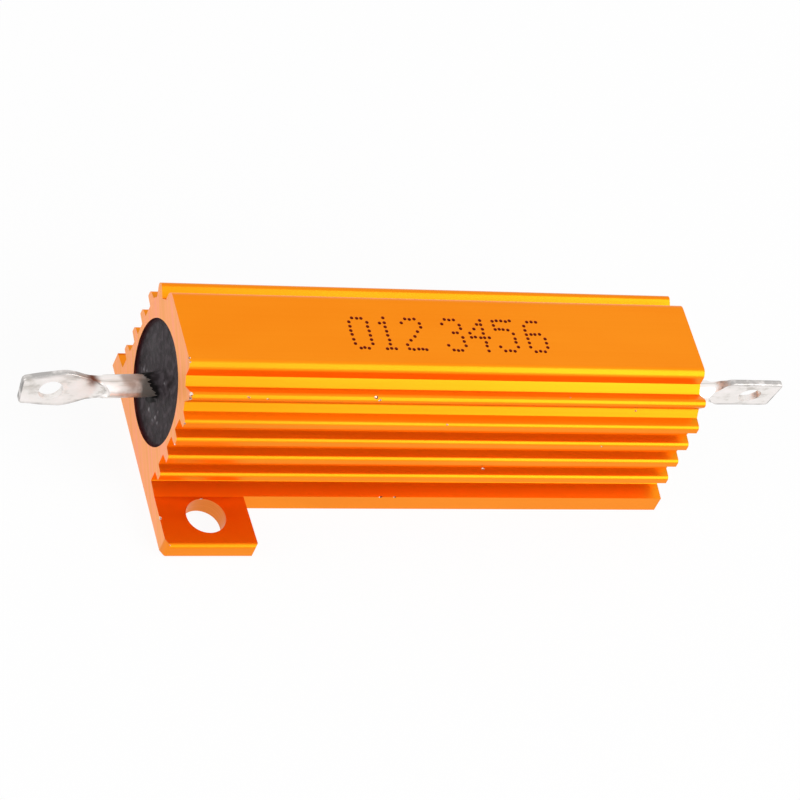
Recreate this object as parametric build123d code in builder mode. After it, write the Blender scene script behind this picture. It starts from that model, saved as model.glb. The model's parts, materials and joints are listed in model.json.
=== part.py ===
from build123d import *

import os
from math import cos, radians, sin

# A wirewound power resistor in a finned aluminium housing, with a solder lug at each end.
# X runs along the winding, Z points up from the mounting face, and the origin is the
# middle of that face. Sizes are in millimetres and angles in degrees.

# Housing, built outward from its bore
body_length = 50.0
bore_diameter = 11.4
floor_wall = 2.15
crown_wall = 2.15
side_wall = 0.6
flange_overhang = 1.6
flange_thickness = 1.75
flange_rise = 0.2
flange_edge_radius = 0.4
fin_count = 4
fin_pitch = 2.52
fin_row_drop = 0.32
fin_depth = 1.05
fin_root_thickness = 1.1
fin_tip_thickness = 0.78
fin_edge_radius = 0.28
neck_inset = 0.47
neck_rise = 0.79
rib_overhang = 0.14
rib_tip_radius = 0.42
rib_tip_drop = 0.49
gutter_width = 0.7
gutter_depth = 0.67
crest_inset = 2.1
crest_height = 1.5
crest_edge_radius = 0.75

# Ears, one at each end on opposite sides
ear_hole_diameter = 3.7
ear_hole_setback = 4.4
ear_hole_offset = 2.15
ear_outer_margin = 1.45
ear_inner_margin = 2.35
ear_taper = 0.33
ear_corner_radius = 0.4

# Element inside the bore
core_setback = 6.0
core_diameter = 6.5
core_edge_bevel = 0.3
cap_length = 4.0
cap_wall = 0.4
wire_diameter = 0.3
winding_pitch = 1.5

# Terminals
lead_diameter = 2.1
shank_reach = 5.0
swage_length = 1.1
lug_length = 7.2
lug_width = 4.0
lug_thickness = 0.7
lug_corner_radius = 0.35
lug_hole_diameter = 2.2
lug_hole_setback = 2.7
left_droop = 3.8
left_twist = 6.0
left_flare = 3.6
left_tip_width = 3.0
right_droop = 0.0
right_twist = 10.0
right_flare = 1.6
right_tip_width = 3.9

# Sealing compound
seal_depth = 3.0
seal_recess = 0.35
collar_radius = 1.7
collar_height = 1.3
collar_lip = 0.2

# Clearances
fit_gap = 0.02
weld_gap = 0.1

os.makedirs("parts", exist_ok=True)

body_end = body_length / 2
bore_radius = bore_diameter / 2
bore_height = floor_wall + bore_radius
core_end = body_end - core_setback
cap_rim = core_end + fit_gap + cap_wall - cap_length
cap_face = core_end + fit_gap + cap_wall
cap_radius = core_diameter / 2 + fit_gap + cap_wall
filler_end = body_end - seal_depth
seal_face = body_end - seal_recess
lead_radius = lead_diameter / 2
lead_fit_radius = lead_radius + fit_gap
shank_end = body_end + shank_reach - cap_face
lug_tip = shank_end + lug_length


def end_plane(side, reach):
    """A plane across the bore, this far from the middle and facing outward."""
    return Plane(origin=(side * reach, 0, bore_height), x_dir=(0, 0, 1), z_dir=(side, 0, 0))


def lead_plane(side, droop, twist):
    """The plane that a terminal starts from, on its cap, facing along the terminal."""
    outward = Vector(side * cos(radians(droop)), 0, -sin(radians(droop)))
    upward = Vector(side * sin(radians(droop)), 0, cos(radians(droop)))
    twisted = upward.rotate(Axis((0, 0, 0), outward), twist)
    return Plane(origin=(side * cap_face, 0, bore_height), x_dir=twisted, z_dir=outward)


left_lead = lead_plane(-1, left_droop, left_twist)
right_lead = lead_plane(1, right_droop, right_twist)


def lead_passage(lead):
    """The room that a terminal takes up on its way out, with a little clearance."""
    with BuildPart() as passage:
        with BuildSketch(lead):
            Circle(lead_fit_radius)
        extrude(amount=body_length)
    return passage.part


left_passage = lead_passage(left_lead)
right_passage = lead_passage(right_lead)


# Housing: one extrusion with four fins, a rib, a gutter and the marking crest on each side
half_wall = bore_radius + side_wall
half_fin = half_wall + fin_depth
half_flange = half_wall + flange_overhang
shoulder = half_wall - crest_inset
body_height = bore_height + bore_radius + crown_wall
gutter_start = body_height - crest_height
fin_row = (fin_count - 1) * fin_pitch
lowest_fin_height = bore_height - fin_row_drop - fin_row / 2
neck_height = lowest_fin_height + fin_row + fin_root_thickness / 2 + neck_rise

outline = [(0, 0), (half_flange, 0), (half_flange, flange_thickness)]
outline.append((half_wall, flange_thickness + flange_rise))
for fin in range(fin_count):
    height = lowest_fin_height + fin * fin_pitch
    outline.append((half_wall, height - fin_root_thickness / 2))
    outline.append((half_fin, height - fin_tip_thickness / 2))
    outline.append((half_fin, height + fin_tip_thickness / 2))
    outline.append((half_wall, height + fin_root_thickness / 2))
neck = (half_wall - neck_inset, neck_height)
gutter = (shoulder + gutter_width, gutter_start - gutter_depth)
rib_tip = (half_wall + rib_overhang - rib_tip_radius, gutter_start - rib_tip_drop)
outline.extend([neck, gutter, (shoulder, gutter_start), (shoulder, body_height), (0, body_height)])

ear_hole_radius = ear_hole_diameter / 2
ear_hole = (ear_hole_setback - body_end, -half_flange - ear_hole_offset)
ear_reach = half_flange + ear_hole_offset + ear_hole_radius + ear_outer_margin
ear_tip = ear_hole[0] + ear_hole_radius + ear_inner_margin
ear = [
    (-body_end, 0),
    (-body_end, -ear_reach),
    (ear_tip, -ear_reach),
    (ear_tip + ear_taper, -half_flange),
    (ear_tip + ear_taper, 0),
]

with BuildPart() as housing:
    with BuildSketch(Plane.YZ) as section:
        with BuildLine():
            Polyline(*outline, close=True)
        make_face()
        with BuildLine() as rib:
            Line(neck, gutter)
            CenterArc(rib_tip, rib_tip_radius, 0, 360)
        make_hull(rib.edges())
        mirror(about=Plane.YZ)
        tips = section.vertices().filter_by(lambda v: abs(abs(v.X) - half_fin) < fit_gap)
        fillet(tips, fin_edge_radius)
        crest = section.vertices().filter_by(lambda v: abs(v.Y - body_height) < fit_gap)
        fillet(crest, crest_edge_radius)
        flange = section.vertices().filter_by(lambda v: abs(v.Y) < fit_gap < abs(v.X))
        fillet(flange, flange_edge_radius)
    extrude(amount=body_end, both=True)
    with BuildSketch(Plane.XY) as ears:
        with PolarLocations(0, 2):
            Polygon(*ear)
        ear_corners = ears.vertices().filter_by(lambda v: abs(abs(v.Y) - ear_reach) < fit_gap)
        fillet(ear_corners, ear_corner_radius)
    extrude(amount=flange_thickness)
    with PolarLocations(0, 2):
        with Locations(ear_hole):
            Hole(ear_hole_radius)
    with BuildSketch(end_plane(-1, body_end)):
        Circle(bore_radius)
    extrude(amount=-body_length, mode=Mode.SUBTRACT)

housing.part.label = "housing"
export_step(housing.part, "parts/housing.step")

# Ceramic core: a plain rod with bevelled ends
with BuildPart() as ceramic_core:
    with BuildSketch(end_plane(-1, core_end)):
        Circle(core_diameter / 2)
    extrude(amount=-2 * core_end)
    chamfer(ceramic_core.edges().filter_by(GeomType.CIRCLE), core_edge_bevel)

ceramic_core.part.label = "ceramic_core"
export_step(ceramic_core.part, "parts/ceramic_core.step")


# End caps: thin cups pressed over the ends of the core
def end_cap(side):
    with BuildPart() as cap:
        with BuildSketch(end_plane(side, cap_rim)):
            Circle(cap_radius)
        extrude(amount=cap_length)
        with BuildSketch(end_plane(side, cap_rim)):
            Circle(cap_radius - cap_wall)
        extrude(amount=cap_length - cap_wall, mode=Mode.SUBTRACT)
    return cap.part


for name, side in (("end_cap_left", -1), ("end_cap_right", 1)):
    cap = end_cap(side)
    cap.label = name
    export_step(cap, f"parts/{name}.step")

# Resistance winding: one layer of wire that runs from the rim of one cap to the other
wire_radius = wire_diameter / 2
winding_end = cap_rim - wire_radius - fit_gap
winding_radius = core_diameter / 2 + fit_gap + wire_radius

with BuildPart() as resistance_winding:
    with BuildLine() as turns:
        Helix(
            winding_pitch,
            2 * winding_end,
            winding_radius,
            center=(-winding_end, 0, bore_height),
            direction=(1, 0, 0),
        )
    with BuildSketch(Plane(origin=turns.line @ 0, z_dir=turns.line % 0)):
        Circle(wire_radius)
    sweep(path=turns.line, is_frenet=True)

resistance_winding.part.label = "resistance_winding"
export_step(resistance_winding.part, "parts/resistance_winding.step")

# Filler: moulded round the element, with room for the caps, the wire and both terminals
with BuildPart() as filler:
    with BuildSketch(end_plane(-1, filler_end)):
        Circle(bore_radius - fit_gap)
    extrude(amount=-2 * filler_end)
    with BuildSketch(end_plane(-1, cap_rim)):
        Circle(winding_radius + wire_radius + fit_gap)
    extrude(amount=-2 * cap_rim, mode=Mode.SUBTRACT)
    for side in (-1, 1):
        with BuildSketch(end_plane(side, cap_rim - fit_gap)):
            Circle(cap_radius + fit_gap)
        extrude(amount=cap_length + 2 * fit_gap, mode=Mode.SUBTRACT)
    add([left_passage, right_passage], mode=Mode.SUBTRACT)

filler.part.label = "filler"
export_step(filler.part, "parts/filler.step")


# End seals: a plug in the mouth of the bore that creeps up the terminal in a collar
def end_seal(side, lead, passage):
    along = Plane(origin=lead.origin, x_dir=lead.z_dir, z_dir=lead.x_dir)
    collar_start = seal_face - cap_face
    with BuildPart() as seal:
        with BuildSketch(end_plane(side, filler_end)):
            Circle(bore_radius - fit_gap)
        extrude(amount=seal_face - filler_end)
        with BuildSketch(along):
            with BuildLine():
                foot = Line((collar_start - collar_height, 0), (collar_start - collar_height, collar_radius))
                rim = Line(foot @ 1, (collar_start, collar_radius))
                lip = (collar_start + collar_height, lead_radius + collar_lip)
                slope = Spline(rim @ 1, lip, tangents=((0, -1), (1, 0)))
                Polyline(slope @ 1, (lip[0], 0), foot @ 0)
            make_face()
        revolve(axis=Axis(lead.origin, lead.z_dir))
        add(passage, mode=Mode.SUBTRACT)
    return seal.part


seals = (
    ("end_seal_left", -1, left_lead, left_passage),
    ("end_seal_right", 1, right_lead, right_passage),
)
for name, side, lead, passage in seals:
    seal = end_seal(side, lead, passage)
    seal.label = name
    export_step(seal, f"parts/{name}.step")


# Terminals: a round rod whose outer end is pressed flat into a drilled lug
def terminal(lead, flare, tip_width):
    along = Plane(origin=lead.origin, x_dir=lead.z_dir, z_dir=lead.x_dir)
    across = Plane(origin=lead.origin, x_dir=lead.z_dir, z_dir=lead.z_dir.cross(lead.x_dir))
    half_thickness = lug_thickness / 2
    swage_end = shank_end + swage_length
    with BuildPart() as rod:
        with BuildSketch(lead.offset(weld_gap)):
            Circle(lead_radius)
        extrude(amount=swage_end - weld_gap)
        with BuildSketch(along):
            with BuildLine():
                press = Spline(
                    (shank_end, lead_radius), (swage_end, half_thickness), tangents=((1, -1), (1, 0))
                )
                Polyline(
                    press @ 1,
                    (lug_tip, half_thickness),
                    (lug_tip, lead_diameter),
                    (shank_end, lead_diameter),
                    press @ 0,
                )
            make_face()
            mirror(about=Plane.XZ)
        extrude(amount=lead_diameter, both=True, mode=Mode.SUBTRACT)
        with BuildSketch(across) as blade:
            with BuildLine():
                swell = Spline(
                    (shank_end, lead_radius),
                    (shank_end + flare, lug_width / 2),
                    tangents=((1, 0), (1, 0)),
                )
                taper = Spline(
                    swell @ 1,
                    (lug_tip, tip_width / 2),
                    tangents=((1, 0), (lug_tip - shank_end - flare, tip_width - lug_width)),
                )
                Polyline(taper @ 1, (lug_tip, 0), (shank_end, 0), swell @ 0)
            make_face()
            mirror(about=Plane.XZ)
            fillet(blade.vertices().group_by(Axis.X)[-1], lug_corner_radius)
            with Locations((lug_tip - lug_hole_setback, 0)):
                Circle(lug_hole_diameter / 2, mode=Mode.SUBTRACT)
        extrude(amount=half_thickness, both=True)
    return rod.part


terminals = (
    ("terminal_left", left_lead, left_flare, left_tip_width),
    ("terminal_right", right_lead, right_flare, right_tip_width),
)
for name, lead, flare, tip_width in terminals:
    rod = terminal(lead, flare, tip_width)
    rod.label = name
    export_step(rod, f"parts/{name}.step")
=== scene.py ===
import json
import random
from math import cos, exp, hypot, pi, radians, sin, sqrt, tan

import bmesh
import bpy
from mathutils import Matrix, Vector, noise

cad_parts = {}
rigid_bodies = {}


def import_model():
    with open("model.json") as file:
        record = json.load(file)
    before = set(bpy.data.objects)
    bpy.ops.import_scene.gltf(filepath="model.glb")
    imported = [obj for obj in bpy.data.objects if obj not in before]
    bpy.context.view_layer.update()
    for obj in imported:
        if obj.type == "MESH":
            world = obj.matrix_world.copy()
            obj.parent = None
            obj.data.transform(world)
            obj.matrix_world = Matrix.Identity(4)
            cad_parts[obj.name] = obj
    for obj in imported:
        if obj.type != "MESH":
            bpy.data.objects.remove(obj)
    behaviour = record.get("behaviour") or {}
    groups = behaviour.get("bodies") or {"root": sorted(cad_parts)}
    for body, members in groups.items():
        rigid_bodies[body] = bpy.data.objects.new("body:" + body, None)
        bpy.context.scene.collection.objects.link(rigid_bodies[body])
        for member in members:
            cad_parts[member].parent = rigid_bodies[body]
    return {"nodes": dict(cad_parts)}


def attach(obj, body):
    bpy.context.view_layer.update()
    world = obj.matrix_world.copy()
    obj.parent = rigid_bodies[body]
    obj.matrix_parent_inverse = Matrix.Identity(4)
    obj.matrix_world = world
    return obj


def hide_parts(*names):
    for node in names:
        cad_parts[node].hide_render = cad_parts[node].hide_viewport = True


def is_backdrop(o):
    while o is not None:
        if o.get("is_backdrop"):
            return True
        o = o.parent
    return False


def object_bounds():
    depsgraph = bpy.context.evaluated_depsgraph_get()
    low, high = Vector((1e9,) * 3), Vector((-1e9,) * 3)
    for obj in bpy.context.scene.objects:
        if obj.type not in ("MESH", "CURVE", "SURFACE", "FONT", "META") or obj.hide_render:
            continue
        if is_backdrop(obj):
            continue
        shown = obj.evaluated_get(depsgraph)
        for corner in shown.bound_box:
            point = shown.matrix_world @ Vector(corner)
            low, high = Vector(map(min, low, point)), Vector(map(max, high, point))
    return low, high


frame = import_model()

cad_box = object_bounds()
mm = 0.001

# Ceramic core: an off-white fired rod that carries the winding. It is pressed
# and fired in one piece, and nothing of it shows outside the housing.


def add_node(tree, kind, feeds=None, **settings):
    """Adds a node with these settings. A feed is a plain value or the socket that feeds it."""
    made = tree.nodes.new(kind)
    for name, value in settings.items():
        setattr(made, name, value)
    for name, value in (feeds or {}).items():
        for one in value if isinstance(value, list) else [value]:
            if isinstance(one, bpy.types.NodeSocket):
                tree.links.new(one, made.inputs[name])
            else:
                made.inputs[name].default_value = one
    return made


def worked_out(tree, operation, *values):
    """The answer of one sum on numbers, each a plain value or the socket that feeds it."""
    made = add_node(tree, "ShaderNodeMath", dict(enumerate(values)), operation=operation)
    return made.outputs[0]


def new_finish(name, values):
    """A material with these plain values on its shader, and its tree and shader for the grain."""
    material = bpy.data.materials.new(name)
    material.use_nodes = True
    shader = material.node_tree.nodes["Principled BSDF"]
    for socket, value in values.items():
        shader.inputs[socket].default_value = value
    return material, material.node_tree, shader


def grain(tree, waves, detail=2.0, lines=0.0):
    """Noise on the piece's own coordinates, with this many waves per metre along each axis.

    The pattern is first turned round the part's length by the angle of its lines.
    """
    place = add_node(tree, "ShaderNodeTexCoord").outputs["Object"]
    if lines:
        turned = {"Vector": place, "Rotation": (lines, 0.0, 0.0)}
        place = add_node(tree, "ShaderNodeMapping", turned).outputs["Vector"]
    spread = add_node(tree, "ShaderNodeMapping", {"Vector": place, "Scale": waves})
    fed = {"Vector": spread.outputs["Vector"], "Scale": 1.0, "Detail": detail}
    return add_node(tree, "ShaderNodeTexNoise", fed).outputs["Fac"]


def tint(tree, shader, factor, stops):
    """Colours the surface along these stops as the factor rises."""
    ramp = add_node(tree, "ShaderNodeValToRGB", {"Fac": factor})
    points = ramp.color_ramp.elements
    while len(points) < len(stops):
        points.new(0.5)
    for point, (place, colour) in zip(points, stops):
        point.position = place
        point.color = (*colour, 1.0)
    tree.links.new(ramp.outputs["Color"], shader.inputs["Base Color"])


def spread_over(tree, shader, socket, amount, colour):
    """Lays this colour or value over what the shader's socket has, as far as the amount says."""
    kind = "RGBA" if socket == "Base Color" else "FLOAT"
    first, second = (6, 7) if kind == "RGBA" else (2, 3)
    mixed = add_node(tree, "ShaderNodeMix", {0: amount, second: colour}, data_type=kind)
    below = shader.inputs[socket]
    if below.is_linked:
        tree.links.new(below.links[0].from_socket, mixed.inputs[first])
    else:
        mixed.inputs[first].default_value = below.default_value
    output = next(out for out in mixed.outputs if out.enabled)
    tree.links.new(output, below)


def span(tree, factor, low, high, start=0.3, end=0.7):
    """The factor taken from start..end to low..high."""
    fed = {"Value": factor, "From Min": start, "From Max": end, "To Min": low, "To Max": high}
    return add_node(tree, "ShaderNodeMapRange", fed).outputs["Result"]


def relief(tree, shader, height, depth, below=None):
    """Raises and lowers the surface by the height's pattern, this deep in metres."""
    fed = {"Height": height, "Distance": depth, "Strength": 1.0}
    if below:
        fed["Normal"] = below
    bump = add_node(tree, "ShaderNodeBump", fed)
    tree.links.new(bump.outputs["Normal"], shader.inputs["Normal"])
    return bump.outputs["Normal"]


def dress(node, material):
    """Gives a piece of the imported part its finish."""
    piece = frame["nodes"][node]
    piece.data.materials.clear()
    piece.data.materials.append(material)


core_finish, tree, shader = new_finish("fired_ceramic", {"Roughness": 0.75})
speckle = grain(tree, (2500, 2500, 2500), 4)
tint(tree, shader, speckle, [(0.35, (0.62, 0.59, 0.53)), (0.6, (0.75, 0.73, 0.68))])
relief(tree, shader, speckle, 0.02 * mm)
dress("ceramic_core", core_finish)

# End caps: thin cups pressed from nickel-plated steel and pushed over the ends
# of the core. The winding ends on their rims and the terminals on their faces.

cap_finish, tree, shader = new_finish("plated_steel", {"Metallic": 1.0})
draw_marks = grain(tree, (90, 4000, 4000), 3)
tint(tree, shader, draw_marks, [(0.3, (0.50, 0.49, 0.46)), (0.7, (0.62, 0.61, 0.58))])
tree.links.new(span(tree, draw_marks, 0.25, 0.45), shader.inputs["Roughness"])
relief(tree, shader, draw_marks, 0.006 * mm)
for side_name in ("left", "right"):
    dress(f"end_cap_{side_name}", cap_finish)

# Resistance winding: one layer of drawn alloy wire, wound round the core from
# cap to cap and slightly darkened by heat.

wire_finish, tree, shader = new_finish("heated_wire", {"Metallic": 1.0})
heat = grain(tree, (140, 600, 600), 2)
tint(tree, shader, heat, [(0.3, (0.24, 0.20, 0.17)), (0.7, (0.38, 0.35, 0.32))])
tree.links.new(span(tree, heat, 0.3, 0.5), shader.inputs["Roughness"])
dress("resistance_winding", wire_finish)

# Terminals: tinned copper rods welded to the end caps. Each one's outer end is
# pressed flat in a die, which lets it swell sideways, then cropped and drilled.

bore_height = 7.85 * mm
cap_face = 19.42 * mm
weld_gap = 0.1 * mm
lead_radius = 1.05 * mm
shank_end = 10.58 * mm
swage_length = 1.1 * mm
lug_half_width = 2.0 * mm
lug_half_thickness = 0.28 * mm
lug_corner = 0.35 * mm
lug_edge_round = 0.1 * mm
lug_hole_radius = 1.1 * mm
lug_hole_setback = 2.7 * mm
lug_lip_height = 0.05 * mm
die_mark = 11.2 * mm
die_bulge = 0.9 * mm
film_end = 7.35 * mm
same_place = 0.0005 * mm
terminal_sizes = {
    "left": {
        "side": -1,
        "droop": 3.8,
        "twist": 6.0,
        "flare": 3.6 * mm,
        "tip": 1.5 * mm,
        "lug_tip": 17.78 * mm,
    },
    "right": {
        "side": 1,
        "droop": 0.0,
        "twist": 10.0,
        "flare": 1.6 * mm,
        "tip": 1.95 * mm,
        "lug_tip": 17.38 * mm,
    },
}


def lead_frame(sizes):
    """Turns lead coordinates, along, across its thickness and across its width, to the part's."""
    side, droop, twist = sizes["side"], radians(sizes["droop"]), radians(sizes["twist"])
    along = Vector((side * cos(droop), 0, -sin(droop)))
    upward = Vector((side * sin(droop), 0, cos(droop)))
    width = Matrix.Rotation(twist, 3, along) @ upward
    across = width.cross(along)
    turned = Matrix((along, across, width)).transposed().to_4x4()
    return Matrix.Translation((side * cap_face, 0, bore_height)) @ turned


def ease(share):
    """Rises smoothly from 0 to 1 as the share does."""
    share = min(1.0, max(0.0, share))
    return share * share * (3 - 2 * share)


def peak(distance, width):
    """1 at no distance, and nearly 0 at twice the width."""
    return exp(-((distance / width) ** 2))


def new_piece(name, bm, finishes, smooth_angle=35.0):
    """Makes a mesh object from the bmesh, with its faces outward and its hard edges kept."""
    bmesh.ops.remove_doubles(bm, verts=bm.verts, dist=same_place)
    bmesh.ops.recalc_face_normals(bm, faces=bm.faces)
    mesh = bpy.data.meshes.new(name)
    bm.to_mesh(mesh)
    bm.free()
    return place_mesh(name, mesh, finishes, smooth_angle)


def place_mesh(name, mesh, finishes, smooth_angle=35.0):
    """Puts a mesh in the scene under this name, smooth but for its hard edges."""
    chosen = [face.material_index for face in mesh.polygons]
    mesh.materials.clear()
    for finish in finishes:
        mesh.materials.append(finish)
    mesh.polygons.foreach_set("material_index", chosen)
    mesh.polygons.foreach_set("use_smooth", [True] * len(mesh.polygons))
    mesh.set_sharp_from_angle(angle=radians(smooth_angle))
    mesh.name = name
    piece = bpy.data.objects.new(name, mesh)
    bpy.context.scene.collection.objects.link(piece)
    return piece


def settled(piece):
    """The piece's mesh with its modifiers worked in, and the piece itself removed."""
    depsgraph = bpy.context.evaluated_depsgraph_get()
    mesh = bpy.data.meshes.new_from_object(piece.evaluated_get(depsgraph))
    old = piece.data
    bpy.data.objects.remove(piece)
    bpy.data.meshes.remove(old)
    return mesh


def mark_points(mesh, name, amounts):
    """Keeps a number for each vertex, which a finish can read by this name."""
    mesh.attributes.new(name, "FLOAT", "POINT").data.foreach_set("value", amounts)


def marked(tree, name):
    """The number kept on the piece under this name."""
    return add_node(tree, "ShaderNodeAttribute", attribute_name=name).outputs["Fac"]


def ring_walls(bm, rings):
    """Joins rings of equal length into a wall."""
    for first, second in zip(rings, rings[1:]):
        for i in range(len(first)):
            j = (i + 1) % len(first)
            bm.faces.new((first[i], first[j], second[j], second[i]))


def lead_outline(along, sizes):
    """Half thickness, half width and corner radius of the terminal at this distance."""
    lug_tip, flare = sizes["lug_tip"], sizes["flare"]
    pressed = (along - shank_end) / swage_length
    if pressed <= 0:
        return lead_radius, lead_radius, lead_radius
    thickness = lead_radius + (lug_half_thickness - lead_radius) * min(1.0, pressed) ** 0.62
    swell = ease((along - shank_end) / flare)
    width = lead_radius + (lug_half_width - lead_radius) * swell
    if along > shank_end + flare:
        share = (along - shank_end - flare) / (lug_tip - shank_end - flare)
        width += (sizes["tip"] - lug_half_width) * share**1.2
    past_corner = along - (lug_tip - lug_corner)
    if past_corner > 0:
        width -= lug_corner - sqrt(max(0.0, lug_corner**2 - past_corner**2))
    corner = lug_edge_round + (lead_radius - lug_edge_round) * (1 - min(1.0, pressed)) ** 1.5
    return thickness, width, min(corner, thickness, width)


def lead_ring(thickness, width, corner, per_corner=6, per_flat=10, per_edge=4):
    """A rounded rectangle as points across the terminal, always the same number of them."""
    points = []
    for quarter in range(4):
        ends = []
        for corner_at in (quarter, quarter + 1):
            sign_t = 1 if corner_at % 4 in (0, 3) else -1
            sign_w = 1 if corner_at % 4 in (0, 1) else -1
            ends.append(Vector((sign_t * (thickness - corner), sign_w * (width - corner))))
        for step in range(per_corner):
            turn = (quarter + step / (per_corner - 1)) * pi / 2
            points.append(ends[0] + corner * Vector((cos(turn), sin(turn))))
        turn = (quarter + 1) * pi / 2
        target = ends[1] + corner * Vector((cos(turn), sin(turn)))
        count = per_flat if quarter in (1, 3) else per_edge
        for step in range(1, count + 1):
            points.append(points[-1].lerp(target, 1 / (count + 2 - step)))
    return points


tin_finish, tree, shader = new_finish("tinned_copper", {"Metallic": 1.0})
streaks = grain(tree, (200, 3200, 3200), 4)
cloudy = grain(tree, (700, 900, 900), 3)
mixed = {0: marked(tree, "pressed"), 2: streaks, 3: cloudy}
dull = add_node(tree, "ShaderNodeMix", mixed, data_type="FLOAT").outputs[0]
tint(
    tree,
    shader,
    dull,
    [(0.33, (0.62, 0.58, 0.54)), (0.46, (0.88, 0.84, 0.81)), (0.7, (0.95, 0.90, 0.885))],
)
tree.links.new(span(tree, dull, 0.32, 0.46), shader.inputs["Roughness"])
dents = relief(tree, shader, grain(tree, (900, 1500, 1500), 3), 0.02 * mm)
relief(tree, shader, grain(tree, (250, 9000, 9000), 2), 0.012 * mm, dents)
patchy = span(tree, grain(tree, (900, 900, 900), 4), 0.35, 1.0, 0.35, 0.55)
# the first mark darkens the lug's edges and tip, and paints shade along the die crease
for name, colour in (
    ("worn", (0.30, 0.29, 0.28, 1.0)),
    ("stained", (0.16, 0.05, 0.025, 1.0)),
    ("dulled", (0.38, 0.27, 0.22, 1.0)),
):
    laid = worked_out(tree, "MULTIPLY", marked(tree, name), patchy)
    spread_over(tree, shader, "Base Color", laid, colour)
spread_over(tree, shader, "Base Color", marked(tree, "filmed"), (0.14, 0.12, 0.105, 1.0))
filmed = span(tree, marked(tree, "filmed"), 1.0, 0.0, 0.0, 1.0)
tree.links.new(filmed, shader.inputs["Metallic"])

# how many rings of points shape the shank, the swage, the lug's flat and its corners
shank_rings, swage_rings, flat_rings, corner_rings = 60, 10, 30, 8
# without a seed of its own, the wander of the pressed edges would differ on each run
noise.seed_set(7)

for side_name, sizes in terminal_sizes.items():
    lug_tip = sizes["lug_tip"]
    to_part = lead_frame(sizes)
    shank_run = shank_end - weld_gap
    stations = [weld_gap + shank_run * i / shank_rings for i in range(shank_rings + 1)]
    stations += [shank_end + swage_length * i / swage_rings for i in range(1, swage_rings + 1)]
    flat_start, flat_end = stations[-1], lug_tip - lug_corner
    flat_run = flat_end - flat_start
    stations += [flat_start + flat_run * i / flat_rings for i in range(1, flat_rings + 1)]
    for i in range(1, corner_rings + 1):
        stations.append(flat_end + lug_corner * sin(i / corner_rings * pi / 2))
    hole_at = lug_tip - lug_hole_setback
    bm = bmesh.new()
    rings = []
    for along in stations:
        thickness, width, corner = lead_outline(along, sizes)
        ring = []
        for across, up in lead_ring(thickness, width, corner):
            point = Vector((along, across, up))
            bulge = die_bulge * peak(along - die_mark, 1.2 * mm)
            point.x -= bulge * max(0.0, 1 - (up / width) ** 2)
            away = hypot(along - hole_at, up)
            if along > shank_end + swage_length:
                lip = lug_lip_height * peak(away - lug_hole_radius, 0.25 * mm)
                point.y += lip * (1 if across > 0 else -1)
            # the pressed edges wander
            shake = noise.noise_vector(point * 900 + Vector((sizes["side"] * 7, 0, 0)))
            if along > shank_end:
                point.z += shake.z * 0.05 * mm * ease((along - shank_end) / swage_length)
            ring.append(bm.verts.new(to_part @ point))
        rings.append(ring)
    ring_walls(bm, rings)
    bm.faces.new(rings[0])
    bm.faces.new(rings[-1])
    blank = new_piece(f"terminal_blank_{side_name}", bm, [tin_finish])

    bm = bmesh.new()
    drill = to_part @ Matrix.Translation((hole_at, 0, 0)) @ Matrix.Rotation(pi / 2, 4, "X")
    bmesh.ops.create_cone(
        bm,
        cap_ends=True,
        segments=40,
        radius1=lug_hole_radius,
        radius2=lug_hole_radius,
        depth=4 * lug_half_thickness,
        matrix=drill,
    )
    cutter = new_piece(f"lug_drill_{side_name}", bm, [tin_finish])
    cut = blank.modifiers.new("drilled", "BOOLEAN")
    cut.operation = "DIFFERENCE"
    cut.solver = "EXACT"
    cut.object = cutter
    mesh = settled(blank)
    bpy.data.objects.remove(cutter)

    marks = {name: [] for name in ("worn", "pressed", "stained", "dulled", "filmed")}
    to_lead = to_part.inverted()
    for vertex in mesh.vertices:
        along, across, up = to_lead @ vertex.co
        thickness, width, corner = lead_outline(along, sizes)
        on_lug = ease((along - shank_end) / swage_length)
        crease = die_mark - die_bulge * max(0.0, 1 - (up / width) ** 2)
        edge = on_lug * ease((abs(up) - width + 0.16 * mm) / (0.1 * mm))
        tip_edge = ease((along - lug_tip + 0.14 * mm) / (0.08 * mm))
        # painted shade along the die crease on the lug's broad faces
        line = peak(along - crease, 0.14 * mm) * (abs(across) > thickness * 0.5)
        marks["worn"].append(min(1.0, max(0.75 * edge, tip_edge, line)))
        marks["pressed"].append(0.8 * on_lug)
        spot = hypot(along - shank_end - 0.9 * mm, 0.6 * (up - width))
        marks["stained"].append(peak(spot, 0.5 * mm) if side_name == "left" else 0.0)
        ragged = noise.noise(vertex.co * 900) * 1.1 * mm
        dull_end, film_edge = film_end + 1.9 * mm, film_end - 0.2 * mm
        marks["dulled"].append(0.8 * ease((dull_end + ragged - along) / (1.2 * mm)))
        marks["filmed"].append(ease((film_edge + 0.5 * ragged - along) / (0.3 * mm)))
    for name, amounts in marks.items():
        mark_points(mesh, name, amounts)
    terminal = place_mesh(f"terminal_{side_name}_pressed", mesh, [tin_finish])
    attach(terminal, "root")
    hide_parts(f"terminal_{side_name}")

# Filler: a grey-brown moulding compound cast round the element, which carries
# its heat to the housing. Nothing of it shows outside.

filler_finish, tree, shader = new_finish("moulding_compound", {"Roughness": 0.85})
grit = grain(tree, (1800, 1800, 1800), 5)
tint(tree, shader, grit, [(0.35, (0.16, 0.14, 0.12)), (0.65, (0.26, 0.23, 0.20))])
relief(tree, shader, grit, 0.05 * mm)
dress("filler", filler_finish)

# Housing: an aluminium extrusion with four fins, a rib and a gutter on each
# side, sawn to length, bored through, its flange cut back to two drilled ears.
# It is dyed gold in the anodising bath after it is cut.

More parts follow.
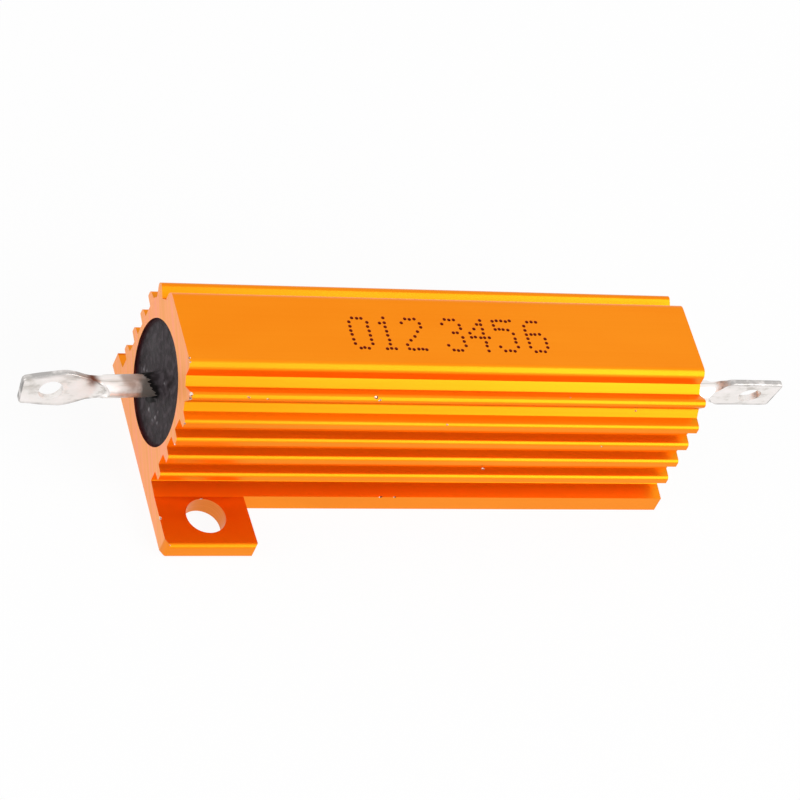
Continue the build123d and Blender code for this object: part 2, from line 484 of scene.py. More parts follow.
body_length = 50.0 * mm
bore_radius = 5.7 * mm
section_sizes = {
    "Length": body_length,
    "Wall": 6.3 * mm,
    "Fin Pitch": 2.52 * mm,
    "Fin Depth": 1.05 * mm,
    "Fin Root": 1.1 * mm,
    "Fin Tip": 0.78 * mm,
    "Fin Top Edge": 0.34 * mm,
    "Fin Under Edge": 0.04 * mm,
    "Lowest Fin": 3.75 * mm,
    "Flange": 1.75 * mm,
    "Bore Radius": bore_radius,
    "Bore Height": bore_height,
    "Ear Hole Radius": 1.85 * mm,
    "Ear Hole": (-20.6 * mm, -10.05 * mm, 0.0),
}
# across, up and the radius of each corner of the extrusion's right half
half_section = [
    (13.35, 0.0, 0.4),
    (13.35, 1.75, 0.4),
    (7.9, 1.75, 0.0),
    (6.3, 1.95, 0.1),
    (6.3, 11.86, 0.1),
    (5.83, 12.65, 0.15),
    (7.37, 15.01, 0.42),
    (4.9, 13.53, 0.1),
    (4.2, 14.2, 0.08),
    (4.2, 15.675, 0.75),
]
# where the flange is cut back on each side, and what is cut off an ear's outer corner
near_flange, far_flange = 7.9, 8.15
near_cut, far_cut = (
    [(16.57, edge), (16.38, 13.05), (17.3, 14.5), (-26.0, 14.5), (-26.0, edge)]
    for edge in (near_flange, far_flange)
)
corner_cut = [(25.2, 12.12), (25.6, 13.9), (24.3, 13.9)]
near_side = [[(-x, -y) for x, y in loop] for loop in (near_cut, corner_cut)]
trimmings = near_side + [far_cut, corner_cut]


class Tree:
    """A geometry tree with named inputs for its sizes."""

    def __init__(self, name, inputs):
        self.group = bpy.data.node_groups.new(name, "GeometryNodeTree")
        sockets = self.group.interface
        sockets.new_socket(name="Geometry", in_out="INPUT", socket_type="NodeSocketGeometry")
        sockets.new_socket(name="Geometry", in_out="OUTPUT", socket_type="NodeSocketGeometry")
        self.ids = {}
        for label, kind in inputs.items():
            made = sockets.new_socket(name=label, in_out="INPUT", socket_type=f"NodeSocket{kind}")
            self.ids[label] = made.identifier
        self.given = self.group.nodes.new("NodeGroupInput").outputs
        self.out = self.group.nodes.new("NodeGroupOutput").inputs["Geometry"]

    def add(self, kind, feeds=None, answer=None, **settings):
        """Adds a node and gives its named answer, or the first one that it has."""
        made = add_node(self.group, kind, feeds, **settings)
        if answer:
            return made.outputs[answer]
        return next(out for out in made.outputs if out.enabled)

    def sum(self, operation, *values):
        return worked_out(self.group, operation, *values)

    def vector(self, x=0.0, y=0.0, z=0.0):
        return self.add("ShaderNodeCombineXYZ", {"X": x, "Y": y, "Z": z})

    def moved(self, geometry, shift=(0.0, 0.0, 0.0), turn=(0.0, 0.0, 0.0)):
        fed = {"Geometry": geometry, "Translation": shift, "Rotation": turn}
        return self.add("GeometryNodeTransform", fed)

    def drawn_out(self, outline, length):
        """The outline swept upward by this length, closed at both ends."""
        path = self.add("GeometryNodeCurvePrimitiveLine", {"End": self.vector(z=length)})
        fed = {"Curve": path, "Profile Curve": outline, "Fill Caps": True}
        return self.add("GeometryNodeCurveToMesh", fed)

    def laid_down(self, bar, length):
        """The upright bar laid along X, with its middle on the origin."""
        lower = self.moved(bar, self.vector(z=self.sum("MULTIPLY", length, -0.5)))
        return self.moved(lower, turn=(pi / 2, 0.0, pi / 2))

    def both_sides(self, solid):
        """The solid and its copy on the other side, half a turn round the upright axis."""
        points = self.add("GeometryNodeMeshLine", {"Count": 2, "Offset": (0.0, 0.0, 0.0)})
        half_turns = self.sum("MULTIPLY", self.add("GeometryNodeInputIndex"), pi)
        turn = self.vector(z=half_turns)
        fed = {"Points": points, "Instance": solid, "Rotation": turn}
        return self.add("GeometryNodeInstanceOnPoints", fed)

    def real(self, geometry):
        return self.add("GeometryNodeRealizeInstances", {"Geometry": geometry})

    def joined(self, *solids):
        fed = {"Mesh 2": list(solids), "Self Intersection": True}
        return self.add("GeometryNodeMeshBoolean", fed, operation="UNION", solver="EXACT")

    def cut(self, solid, *cutters):
        fed = {"Mesh 1": solid, "Mesh 2": list(cutters), "Self Intersection": True}
        return self.add("GeometryNodeMeshBoolean", fed, operation="DIFFERENCE", solver="EXACT")

    def finished(self, geometry, finish, where=None):
        fed = {"Geometry": geometry, "Material": finish}
        if where is not None:
            fed["Selection"] = where
        return self.add("GeometryNodeSetMaterial", fed)

    def use_on(self, piece, values):
        made = piece.modifiers.new(self.group.name, "NODES")
        made.node_group = self.group
        for label, value in values.items():
            made[self.ids[label]] = value


gold = {"Metallic": 0.85, "Specular IOR Level": 0.1}
skin_finish, tree, shader = new_finish("gold_anodised", gold)
die_lines = grain(tree, (25, 5200, 5200), 3)
cloud = grain(tree, (60, 160, 160), 2)
blend = add_node(tree, "ShaderNodeMix", {0: 0.75, 2: die_lines, 3: cloud}, data_type="FLOAT")
tint(tree, shader, blend.outputs[0], [(0.3, (0.92, 0.245, 0.004)), (0.7, (0.95, 0.28, 0.007))])
place = add_node(tree, "ShaderNodeTexCoord").outputs["Object"]
place = add_node(tree, "ShaderNodeSeparateXYZ", {"Vector": place}).outputs
# Down in the grooves near the fin roots the gold is darker and duller: painted shade.
outward = worked_out(tree, "ABSOLUTE", place["Y"])
inward = span(tree, outward, 0.6, 0.0, 6.35 * mm, 7.15 * mm)
level = span(tree, place["Z"], 1.0, 0.0, 12.9 * mm, 14.3 * mm)
deep = worked_out(tree, "MULTIPLY", inward, level)
# On the flange tops beside the body the gold is darker and redder: painted shade.
flat = span(tree, outward, 0.0, 1.0, 7.9 * mm, 8.0 * mm)
above = span(tree, place["Z"], 0.0, 1.0, 1.6 * mm, 1.74 * mm)
deep = worked_out(tree, "MULTIPLY", deep, above)
flat = worked_out(tree, "MULTIPLY", flat, above)
spread_over(tree, shader, "Base Color", deep, (0.64, 0.23, 0.003, 1.0))
spread_over(tree, shader, "Base Color", flat, (0.76, 0.15, 0.002, 1.0))
tree.links.new(span(tree, die_lines, 0.30, 0.37), shader.inputs["Roughness"])
matt = relief(tree, shader, grain(tree, (14000, 14000, 14000), 2), 0.0012 * mm)
relief(tree, shader, die_lines, 0.0002 * mm, matt)

saw_slope = radians(64.7)
pale_gold = {"Metallic": 0.55, "Specular IOR Level": 0.2}
sawn_finish, tree, shader = new_finish("anodised_saw_cut", pale_gold)
saw_lines = grain(tree, (300, 2600, 60), 3, saw_slope)
tint(
    tree,
    shader,
    saw_lines,
    [(0.36, (0.93, 0.36, 0.09)), (0.5, (0.98, 0.39, 0.14)), (0.62, (0.98, 0.37, 0.20))],
)
tree.links.new(span(tree, saw_lines, 0.4, 0.52), shader.inputs["Roughness"])
relief(tree, shader, saw_lines, 0.01 * mm)

drilled_finish, tree, shader = new_finish("anodised_drilling", {"Metallic": 0.9})
feed_lines = grain(tree, (300, 300, 6000), 3)
tint(tree, shader, feed_lines, [(0.3, (0.70, 0.17, 0.015)), (0.7, (0.85, 0.27, 0.05))])
tree.links.new(span(tree, feed_lines, 0.3, 0.5), shader.inputs["Roughness"])
relief(tree, shader, feed_lines, 0.01 * mm)

# The bore's wall is painted a very dark maroon: painted shade where the bore lies in shadow.
bore_shade_finish, tree, shader = new_finish("painted_shade_bore", {"Metallic": 0.6})
bore_grain = grain(tree, (1500, 700, 700), 3)
tint(tree, shader, bore_grain, [(0.35, (0.05, 0.004, 0.004)), (0.65, (0.22, 0.02, 0.012))])
tree.links.new(span(tree, bore_grain, 0.5, 0.7), shader.inputs["Roughness"])
relief(tree, shader, bore_grain, 0.02 * mm)

kinds = {label: "Float" for label in section_sizes}
kinds.update({"Fin Count": "Int", "Trimmings": "Object", "Ear Hole": "Vector"})
kinds.update({finish: "Material" for finish in ("Skin", "Saw Cut", "Drilling", "Bore")})
ex = Tree("finned_extrusion", kinds)
size = ex.given


def rounded_curve(outline, radius):
    """The outline with its corners rounded, in more steps where the radius is larger."""
    steps = ex.sum("CEIL", ex.sum("MULTIPLY_ADD", radius, 13000.0, 2.0))
    fed = {"Curve": outline, "Count": steps, "Radius": radius, "Limit Radius": True}
    return ex.add("GeometryNodeFilletCurve", fed, mode="POLY")


rounding = ex.add("GeometryNodeInputNamedAttribute", {"Name": "corner"}, data_type="FLOAT")
section = ex.add("GeometryNodeMeshToCurve", {"Mesh": size["Geometry"]})
section = rounded_curve(section, rounding)
body = ex.laid_down(ex.drawn_out(section, size["Length"]), size["Length"])

# a fin's flanks carry on straight into the wall, one fin depth further
widening = ex.sum("SUBTRACT", size["Fin Root"], size["Fin Tip"])
buried = ex.sum("ADD", size["Fin Root"], widening)
reach = ex.sum("MULTIPLY", size["Fin Depth"], 2.0)
fin = ex.add(
    "GeometryNodeCurvePrimitiveQuadrilateral",
    {"Height": reach, "Bottom Width": buried, "Top Width": size["Fin Tip"], "Offset": 0.0},
    mode="TRAPEZOID",
)
sideways = ex.add("ShaderNodeSeparateXYZ", {"Vector": ex.add("GeometryNodeInputPosition")})
underneath = ex.sum("GREATER_THAN", sideways, 0.0)
fed = {0: underneath, 2: size["Fin Top Edge"], 3: size["Fin Under Edge"]}
fin = rounded_curve(fin, ex.add("ShaderNodeMix", fed, data_type="FLOAT"))
fin = ex.moved(fin, ex.vector(x=size["Wall"]), (0.0, 0.0, -pi / 2))
fin = ex.laid_down(ex.drawn_out(fin, size["Length"]), size["Length"])
rows = ex.add(
    "GeometryNodeMeshLine",
    {
        "Count": size["Fin Count"],
        "Start Location": ex.vector(z=size["Lowest Fin"]),
        "Offset": ex.vector(z=size["Fin Pitch"]),
    },
)
fins = ex.real(ex.add("GeometryNodeInstanceOnPoints", {"Points": rows, "Instance": fin}))

trimmed = ex.add("GeometryNodeObjectInfo", {"Object": size["Trimmings"]}, answer="Geometry")
trimmed = ex.add("GeometryNodeMeshToCurve", {"Mesh": trimmed})
trimmed = ex.drawn_out(trimmed, ex.sum("MULTIPLY", size["Flange"], 3.0))
trimmed = ex.moved(trimmed, ex.vector(z=ex.sum("MULTIPLY", size["Flange"], -1.0)))

bore_cut = ex.add(
    "GeometryNodeMeshCylinder",
    {
        "Vertices": 128,
        "Radius": size["Bore Radius"],
        "Depth": ex.sum("MULTIPLY", size["Length"], 1.2),
    },
)
bore_cut = ex.moved(bore_cut, ex.vector(z=size["Bore Height"]), (0.0, pi / 2, 0.0))
bore_cut = ex.finished(bore_cut, size["Bore"])
drill_depth = ex.sum("MULTIPLY", size["Flange"], 4.0)
ear_drill = ex.add(
    "GeometryNodeMeshCylinder",
    {"Vertices": 64, "Radius": size["Ear Hole Radius"], "Depth": drill_depth},
)
ear_drill = ex.finished(ex.moved(ear_drill, size["Ear Hole"]), size["Drilling"])

solid = ex.cut(ex.joined(body, ex.real(ex.both_sides(fins))), trimmed)
end_on = ex.add("ShaderNodeSeparateXYZ", {"Vector": ex.add("GeometryNodeInputNormal")})
sawn = ex.sum("GREATER_THAN", ex.sum("ABSOLUTE", end_on), 0.99)
solid = ex.finished(solid, size["Skin"])
solid = ex.finished(solid, size["Saw Cut"], sawn)
solid = ex.cut(solid, bore_cut, ex.real(ex.both_sides(ear_drill)))
ex.group.links.new(solid, ex.out)


def outline_object(name, loops):
    """Closed outlines as edges, each corner across, up and with its radius, all in millimetres."""
    mesh = bpy.data.meshes.new(name)
    points, edges, radii = [], [], []
    for loop in loops:
        first, count = len(points), len(loop)
        edges += [(first + i, first + (i + 1) % count) for i in range(count)]
        for across, up, *radius in loop:
            points.append((across * mm, up * mm, 0.0))
            radii.append(radius[0] * mm if radius else 0.0)
    mesh.from_pydata(points, edges, [])
    mark_points(mesh, "corner", radii)
    outline = bpy.data.objects.new(name, mesh)
    bpy.context.scene.collection.objects.link(outline)
    return outline


other_half = [(-across, up, radius) for across, up, radius in reversed(half_section)]
extrusion = outline_object("housing_section", [half_section + other_half])
trimmed_off = outline_object("flange_trimmings", trimmings)
ex.use_on(
    extrusion,
    {
        **section_sizes,
        "Fin Count": 4,
        "Trimmings": trimmed_off,
        "Skin": skin_finish,
        "Saw Cut": sawn_finish,
        "Drilling": drilled_finish,
        "Bore": bore_shade_finish,
    },
)
mesh = settled(extrusion)
bpy.data.objects.remove(trimmed_off)
bm = bmesh.new()
bm.from_mesh(mesh)
bmesh.ops.remove_doubles(bm, verts=bm.verts, dist=same_place)
bmesh.ops.dissolve_limit(
    bm, angle_limit=radians(0.2), verts=bm.verts, edges=bm.edges, delimit={"MATERIAL"}
)
bm.to_mesh(mesh)
bm.free()
blank = place_mesh("housing_blank", mesh, list(mesh.materials))
edges = blank.modifiers.new("edges", "BEVEL")
edges.width = 0.05 * mm
edges.segments = 2
edges.limit_method = "ANGLE"
edges.angle_limit = radians(35)
sliver_width = 0.001 * mm


def without_slivers(mesh):
    """Merges the slivers that edge radii and cuts leave, so that the mesh stays closed."""
    bm = bmesh.new()
    bm.from_mesh(mesh)
    bmesh.ops.remove_doubles(bm, verts=bm.verts, dist=sliver_width)
    bmesh.ops.dissolve_degenerate(bm, edges=bm.edges, dist=sliver_width)
    bm.to_mesh(mesh)
    bm.free()
    return mesh


mesh = without_slivers(settled(blank))
blank = place_mesh("housing_blank", mesh, list(mesh.materials))

# The marking is struck into the crest dot by dot: seven plain digits. Handling has
# chipped the dye off the edges in places, down to bright aluminium.

dot_rows = {
    "0": ".###. #...# #...# #...# #...# #...# #...# .###.",
    "1": "..#.. .##.. ..#.. ..#.. ..#.. ..#.. ..#.. .###.",
    "2": ".###. #...# ....# ...#. ..#.. .#... #.... #####",
    "3": ".###. #...# ....# ..##. ....# ....# #...# .###.",
    "4": "...#. ..##. .#.#. #..#. ##### ...#. ...#. ...#.",
    "5": "##### #.... ####. ....# ....# ....# #...# .###.",
    "6": ".###. #.... #.... ####. #...# #...# #...# .###.",
}
digit_places = {"0": -9.0, "1": -6.45, "2": -3.9, "3": 0.0, "4": 2.55, "5": 5.1, "6": 8.1}
dot_column, dot_row, top_row = 0.43, 0.49, 1.45
crest_top = 15.675
dot_shake = 0.025
shaking = random.Random(5)
dots = []
for digit, place in digit_places.items():
    for row, line in enumerate(dot_rows[digit].split()):
        for column, struck in enumerate(line):
            if struck == "#":
                x = place + column * dot_column + shaking.gauss(0, dot_shake)
                y = top_row - row * dot_row + shaking.gauss(0, dot_shake)
                dots.append((x, y, crest_top))

# place and half size of each chip
chips = [
    ((-25.0, -3.45, 15.72), (0.16, 0.16, 0.12)),
    ((-24.95, -3.85, 15.62), (0.12, 0.12, 0.1)),
    ((-25.0, -6.2, 14.15), (0.26, 0.26, 0.26)),
    ((-25.0, -6.45, 13.75), (0.2, 0.22, 0.2)),
    ((-25.0, -7.35, 11.45), (0.16, 0.12, 0.12)),
    ((-25.0, -6.8, 10.72), (0.12, 0.16, 0.1)),
    ((-25.0, -7.36, 8.5), (0.12, 0.1, 0.12)),
    ((-25.0, -7.1, 5.78), (0.1, 0.12, 0.12)),
    ((-25.0, -6.9, 3.2), (0.12, 0.14, 0.1)),
    ((-25.0, -10.32, 1.75), (0.2, 0.2, 0.14)),
    ((-24.7, -13.25, 1.7), (0.14, 0.14, 0.1)),
    ((-19.7, -6.42, 14.05), (0.3, 0.12, 0.16)),
    ((-17.8, -6.45, 13.9), (0.16, 0.08, 0.1)),
    ((-7.75, -6.3, 14.2), (0.42, 0.16, 0.22)),
    ((-7.25, -6.42, 13.95), (0.2, 0.1, 0.16)),
    ((-0.2, -7.3, 11.66), (0.18, 0.12, 0.08)),
    ((6.27, -6.53, 4.29), (0.2, 0.1, 0.14)),
    ((6.75, -6.55, 4.4), (0.2, 0.07, 0.06)),
    ((11.4, -5.9, 14.08), (0.1, 0.08, 0.08)),
    ((16.2, -7.35, 8.85), (0.1, 0.07, 0.07)),
    ((18.6, -6.0, 12.42), (0.16, 0.1, 0.08)),
    ((21.16, -7.38, 6.62), (0.1, 0.1, 0.1)),
    ((-3.4, -7.92, 1.76), (0.5, 0.09, 0.07)),
    ((-2.0, -7.92, 1.76), (0.6, 0.08, 0.06)),
    ((22.3, 5.35, 14.3), (0.1, 0.1, 0.1)),
    ((-20.7, -8.2, 1.76), (0.5, 0.08, 0.05)),
]


def points_object(name, places, bites=()):
    """Loose points, with the half size of what each one cuts out."""
    mesh = bpy.data.meshes.new(name)
    mesh.from_pydata([Vector(place) * mm for place in places], [], [])
    if bites:
        kept = mesh.attributes.new("bite", "FLOAT_VECTOR", "POINT")
        kept.data.foreach_set("vector", [part * mm for bite in bites for part in bite])
    cloud = bpy.data.objects.new(name, mesh)
    bpy.context.scene.collection.objects.link(cloud)
    return cloud


struck_sizes = {"Dot Radius": 0.155 * mm, "Dot Depth": 0.13 * mm, "Lip Height": 0.022 * mm}
kinds = {label: "Float" for label in struck_sizes}
kinds.update({"Dots": "Object", "Chips": "Object", "Seed": "Int"})
kinds.update({"Pit": "Material", "Chipped": "Material"})
st = Tree("struck_marks", kinds)
size = st.given
dot_points = st.add("GeometryNodeObjectInfo", {"Object": size["Dots"]}, answer="Geometry")
chip_points = st.add("GeometryNodeObjectInfo", {"Object": size["Chips"]}, answer="Geometry")
# the punch is a cone that is as wide as the dot where it meets the surface
point = st.sum("MULTIPLY", size["Dot Radius"], 0.3)
shoulder = st.sum("MULTIPLY", size["Dot Radius"], 1.7)
punch = {
    "Vertices": 12,
    "Radius Top": shoulder,
    "Radius Bottom": point,
    "Depth": st.sum("MULTIPLY", size["Dot Depth"], 2.0),
}
punch = st.add("GeometryNodeMeshCone", punch)
punch = st.moved(punch, st.vector(z=st.sum("MULTIPLY", size["Dot Depth"], -1.0)))
punch = st.finished(punch, size["Pit"])
lip = {
    "Vertices": 16,
    "Radius Top": st.sum("MULTIPLY", size["Dot Radius"], 1.3),
    "Radius Bottom": st.sum("MULTIPLY", size["Dot Radius"], 1.9),
    "Depth": st.sum("MULTIPLY", size["Lip Height"], 2.0),
}
lip = st.add("GeometryNodeMeshCone", lip)
lip = st.moved(lip, st.vector(z=st.sum("MULTIPLY", size["Lip Height"], -1.0)))
punches = {"Points": dot_points, "Instance": punch}
punches = st.real(st.add("GeometryNodeInstanceOnPoints", punches))
lips = {"Points": dot_points, "Instance": lip}
lips = st.real(st.add("GeometryNodeInstanceOnPoints", lips))
bite = st.add("GeometryNodeInputNamedAttribute", {"Name": "bite"}, data_type="FLOAT_VECTOR")
turn = {"Min": (0.0, 0.0, 0.0), "Max": (3.0, 0.5, 0.5), "Seed": size["Seed"]}
turn = st.add("FunctionNodeRandomValue", turn, data_type="FLOAT_VECTOR")
nick = st.add("GeometryNodeMeshIcoSphere", {"Radius": 1.0, "Subdivisions": 2})
nicks = {"Points": chip_points, "Instance": nick, "Rotation": turn, "Scale": bite}
nicks = st.finished(st.real(st.add("GeometryNodeInstanceOnPoints", nicks)), size["Chipped"])
struck = st.cut(st.joined(size["Geometry"], lips), punches, nicks)
st.group.links.new(struck, st.out)

# The pits are painted dark red inside: painted shade.
pit_shade_finish, tree, shader = new_finish("struck_pit_shade", {"Roughness": 0.7, "Specular IOR Level": 0.1})
pitting = grain(tree, (9000, 9000, 9000), 2)
tint(tree, shader, pitting, [(0.3, (0.13, 0.006, 0.002)), (0.7, (0.26, 0.02, 0.004))])
relief(tree, shader, pitting, 0.01 * mm)

chipped_finish, tree, shader = new_finish("bare_aluminium", {"Metallic": 0.9})
torn = grain(tree, (6000, 6000, 6000), 3)
tint(tree, shader, torn, [(0.42, (0.28, 0.10, 0.04)), (0.58, (0.82, 0.70, 0.62))])
tree.links.new(span(tree, torn, 0.3, 0.6), shader.inputs["Roughness"])
relief(tree, shader, torn, 0.03 * mm)

dot_cloud = points_object("dot_places", dots)
chip_cloud = points_object("chip_places", *zip(*chips))
st.use_on(
    blank,
    {
        **struck_sizes,
        "Dots": dot_cloud,
        "Chips": chip_cloud,
        "Seed": 3,
        "Pit": pit_shade_finish,
        "Chipped": chipped_finish,
    },
)
mesh = without_slivers(settled(blank))
bpy.data.objects.remove(dot_cloud)
bpy.data.objects.remove(chip_cloud)
blank = place_mesh("housing_blank", mesh, list(mesh.materials))
even = blank.modifiers.new("even_normals", "WEIGHTED_NORMAL")
even.keep_sharp = True
even.weight = 100
mesh = settled(blank)
mesh.name = "housing_gold"
housing = bpy.data.objects.new("housing_gold", mesh)
bpy.context.scene.collection.objects.link(housing)
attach(housing, "root")
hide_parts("housing")

# End seals: black potting compound poured into the mouths of the bore. It has
# cured rough and dusty, and clings to the terminal in a ragged black sleeve.
# The black round the terminal's foot is partly painted shade.

seal_face = 24.65 * mm
seal_back = 22.0 * mm
seal_radius = bore_radius - 0.02 * mm
lead_fit = lead_radius + 0.012 * mm
around, sleeve_rings, face_rings = 120, 6, 38
back_ring = sleeve_rings + face_rings

seal_finish, tree, shader = new_finish("cured_compound", {"Specular IOR Level": 0.12})
dust = grain(tree, (1300, 1300, 1300), 5)
tint(
    tree,
    shader,
    dust,
    [(0.36, (0.013, 0.009, 0.010)), (0.5, (0.032, 0.025, 0.028)), (0.66, (0.068, 0.056, 0.062))],
)
spread_over(tree, shader, "Base Color", marked(tree, "pale"), (0.42, 0.40, 0.42, 1.0))
# the ring next to the bore wall is painted dark maroon: painted shade
spread_over(tree, shader, "Base Color", marked(tree, "rim"), (0.018, 0.001, 0.003, 1.0))
# black on the sleeve, and round the terminal's foot partly black resin and partly painted shade
spread_over(tree, shader, "Base Color", marked(tree, "glossy"), (0.003, 0.002, 0.002, 1.0))
tree.links.new(span(tree, dust, 0.5, 0.8), shader.inputs["Roughness"])
fine = relief(tree, shader, grain(tree, (5000, 5000, 5000), 3), 0.03 * mm)
relief(tree, shader, dust, 0.12 * mm, fine)

# where lumps of dust lie on each face: across, up, radius and how pale
lumps = {
    "left": [
        (3.24, 5.63, 0.16, 0.6),
        (2.69, 6.15, 0.12, 0.5),
        (-0.93, 8.92, 0.1, 0.6),
        (-0.46, 4.58, 0.17, 0.8),
        (-1.94, 5.33, 0.14, 0.7),
        (-1.71, 4.68, 0.12, 0.5),
        (-2.62, 5.44, 0.12, 0.5),
        (-1.93, 6.12, 0.1, 0.3),
        (-0.9, 5.0, 0.9, 0.07),
        (3.3, 9.0, 1.4, 0.05),
    ],
    "right": [
        (-2.1, 10.0, 0.14, 0.6),
        (1.7, 4.4, 0.17, 0.5),
        (3.1, 9.2, 0.12, 0.6),
        (-1.0, 4.9, 1.0, 0.06),
    ],
}

# the black patch round the foot of the terminal, partly resin and partly painted shade, from the
# terminal's middle
patch = [
    (2.6, -2.1),
    (1.45, -0.4),
    (0.9, 0.5),
    (0.0, 1.0),
    (-0.9, 0.6),
    (-1.15, -0.9),
    (-0.1, -2.5),
    (0.94, -3.4),
]


def inside(point, corners):
    """Whether the point lies in the area that these corners enclose."""
    crossings = 0
    for (x0, y0), (x1, y1) in zip(corners, corners[1:] + corners[:1]):
        if (y0 > point[1]) != (y1 > point[1]):
            crossings += x0 + (point[1] - y0) * (x1 - x0) / (y1 - y0) > point[0]
    return crossings % 2 == 1


def sleeve_height(turn, shift):
    """How far the compound climbs up the terminal in this direction, in metres."""
    climb = 1.2 + 0.45 * cos(turn - 0.35) - 0.4 * peak(turn - 3.23, 0.5)
    place = Vector((cos(turn), sin(turn), shift))
    climb += 0.25 * noise.noise(place * 3.1) + 0.18 * round(2.0 * noise.noise(place * 7.3))
    return max(0.25, climb) * mm


def seal_point(side, droop, turn, radius, height):
    """A point of the seal, from the middle of the terminal where it leaves the face."""
    reach = seal_face + height
    middle = bore_height - (reach - cap_face) * tan(radians(droop))
    return Vector((side * reach, radius * cos(turn), middle + radius * sin(turn)))


for side_name, sizes in terminal_sizes.items():
    side, droop = sizes["side"], sizes["droop"]
    middle = seal_point(side, droop, 0.0, 0.0, 0.0)
    offset = Vector((middle.y, middle.z - bore_height))
    shift = Vector((side * 5.0, 0.0, 0.0))
    bm = bmesh.new()
    layers = {name: bm.verts.layers.float.new(name) for name in ("pale", "rim", "glossy")}
    rings = []
    for step in range(back_ring + 2):
        ring = []
        for i in range(around):
            turn = 2 * pi * i / around
            way = Vector((cos(turn), sin(turn)))
            beside = offset.dot(way)
            edge = sqrt(seal_radius**2 - offset.length_squared + beside**2) - beside
            climb = sleeve_height(turn, side * 4.0)
            amounts = {"pale": 0.0, "rim": 0.0, "glossy": 0.0}
            if step < sleeve_rings:
                # the sleeve, from its ragged lip down to the face
                share = step / (sleeve_rings - 1)
                height = climb * (1 - share) ** 1.25
                radius = lead_fit + (0.03 + 0.09 * share + 0.16 * share**4) * mm * (step > 0)
                lumpy = noise.noise(Vector((way.x * 4, way.y * 4, share * 5)))
                radius += 0.04 * mm * lumpy * (step > 0)
                point = seal_point(side, droop, turn, radius, height)
                dry = (0.2 + 0.75 * max(0.0, sin(turn)) ** 2) * mm
                amounts["glossy"] = ease((height - dry) / (0.15 * mm) + 1)
            elif step < back_ring:
                share = (step - sleeve_rings) / (face_rings - 1)
                foot = lead_fit + 0.34 * mm
                radius = foot + (edge - foot) * (0.04 + 0.96 * share)
                point = seal_point(side, droop, turn, radius, 0.0)
                rough = 0.07 * noise.noise(point * 380 + shift)
                rough += 0.04 * noise.noise(point * 1100 + shift)
                rim = ease((radius - edge + 0.5 * mm) / (0.5 * mm))
                height = rough * (1 - 0.7 * rim) + 0.16 * rim**2
                for across, up, size, paleness in lumps[side_name]:
                    near = peak(hypot(point.y - across * mm, point.z - up * mm), size * mm)
                    height += 0.1 * near
                    amounts["pale"] = max(amounts["pale"], paleness * near)
                beside = ((point.y - middle.y) / mm, (point.z - middle.z) / mm)
                # the patch on the face round the terminal's foot: black resin and painted shade
                amounts["glossy"] = 1.0 if inside(beside, patch) else 0.0
                # painted shade in a ring next to the bore wall
                amounts["rim"] = ease((radius - edge + 0.4 * mm) / (0.25 * mm))
                point.x += side * height * mm
            else:
                at_back = seal_back - seal_face
                radius = edge if step == back_ring else lead_fit
                point = seal_point(side, droop, turn, radius, at_back)
                if step == back_ring:
                    point.z = middle.z + radius * sin(turn)
            vertex = bm.verts.new(point)
            for name, amount in amounts.items():
                vertex[layers[name]] = amount
            ring.append(vertex)
        rings.append(ring)
    ring_walls(bm, rings + [rings[0]])
    seal = new_piece(f"end_seal_{side_name}_cured", bm, [seal_finish], 60.0)
    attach(seal, "root")
    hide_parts(f"end_seal_{side_name}")

# Stage: a white table and soft studio light, with the camera on the near left.
# The part stands on the table, which keeps its faint shadow.

# the table lies a hair below the part, so that no two faces share a place
table_half_width = 3.0
just_below = Matrix.Translation((0.0, 0.0, -0.02 * mm))
bm = bmesh.new()
bmesh.ops.create_grid(bm, x_segments=1, y_segments=1, size=table_half_width, matrix=just_below)
plain = {"Base Color": (0.9, 0.9, 0.9, 1.0), "Roughness": 0.9}
table_finish, tree, shader = new_finish("white_table", plain)


def seen_directly(tree):
    """1 for what the camera sees, also in or through the part, and 0 for the light it gives."""
    rays = add_node(tree, "ShaderNodeLightPath").outputs
    mirrored = worked_out(tree, "MAXIMUM", rays["Is Camera Ray"], rays["Is Glossy Ray"])
    return worked_out(tree, "MAXIMUM", mirrored, rays["Is Transmission Ray"])


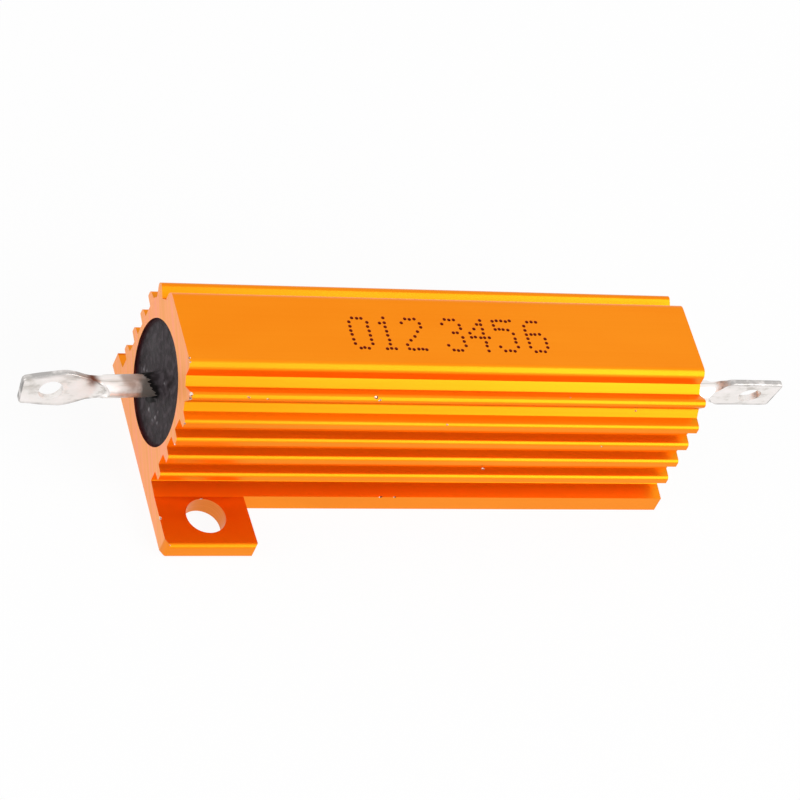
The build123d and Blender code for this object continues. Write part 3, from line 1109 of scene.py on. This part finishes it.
whiteness = 0.93
glow = add_node(tree, "ShaderNodeEmission", {"Color": (1, 1, 1, 1), "Strength": 1.0})
share = worked_out(tree, "MULTIPLY", seen_directly(tree), whiteness)
mixed = {0: share, 1: shader.outputs[0], 2: glow.outputs[0]}
mixed = add_node(tree, "ShaderNodeMixShader", mixed).outputs[0]
tree.links.new(mixed, tree.nodes["Material Output"].inputs["Surface"])
table = new_piece("table", bm, [table_finish])
table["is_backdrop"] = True

room_strength = 0.58
world = bpy.data.worlds.new("studio")
bpy.context.scene.world = world
world.use_nodes = True
tree = world.node_tree
room = tree.nodes["Background"]
room.inputs["Color"].default_value = (1.0, 1.0, 1.0, 1.0)
room.inputs["Strength"].default_value = room_strength
white = add_node(tree, "ShaderNodeBackground", {"Color": (1, 1, 1, 1), "Strength": 1.0})
mixed = {0: seen_directly(tree), 1: room.outputs[0], 2: white.outputs[0]}
mixed = add_node(tree, "ShaderNodeMixShader", mixed).outputs[0]
tree.links.new(mixed, tree.nodes["World Output"].inputs["Surface"])

part_length_axis = Vector((1.0, 0.0, 0.0))


def softbox(name, toward, distance, along, across, radiance, raised=0.0):
    """A square lamp facing the part, with one pair of its sides square to the part's length."""
    lamp = bpy.data.lights.new(name, "AREA")
    lamp.shape = "RECTANGLE"
    lamp.size = along
    lamp.size_y = across
    lamp.energy = radiance * pi * along * across
    back = Vector(toward).normalized()
    sideways = (part_length_axis - back * back.dot(part_length_axis)).normalized()
    upright = back.cross(sideways)
    turned = Matrix((sideways, upright, back)).transposed().to_4x4()
    middle = back * distance + upright * raised + Vector((0, 0, bore_height))
    holder = bpy.data.objects.new(name, lamp)
    holder.matrix_world = Matrix.Translation(middle) @ turned
    bpy.context.scene.collection.objects.link(holder)


softbox("front_softbox", (0.75, -0.6, 0.5), 0.6, 0.48, 0.73, 3.1, 0.005)
softbox("side_softbox", (-1.0, -0.25, 0.35), 0.5, 0.4, 0.4, 1.8)

camera = bpy.data.cameras.new("camera")
camera.lens = 187.8
camera.sensor_width = 36.0
camera.clip_start = 0.01
camera.clip_end = 10.0
holder = bpy.data.objects.new("camera", camera)
bpy.context.scene.collection.objects.link(holder)
forward = Vector((0.4006, 0.5678, -0.7191)).normalized()
right = Vector((0.9161, -0.2363, 0.3238))
right = (right - forward * right.dot(forward)).normalized()
up = right.cross(forward)
turned = Matrix((right, up, -forward)).transposed().to_4x4()
holder.matrix_world = Matrix.Translation((-0.152267, -0.214644, 0.277734)) @ turned
bpy.context.scene.camera = holder
bpy.context.scene.view_settings.view_transform = "Standard"

visual_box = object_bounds()
boxes = {"cad": cad_box, "visual": visual_box}
boxes = {name: [list(corner) for corner in box] for name, box in boxes.items()}
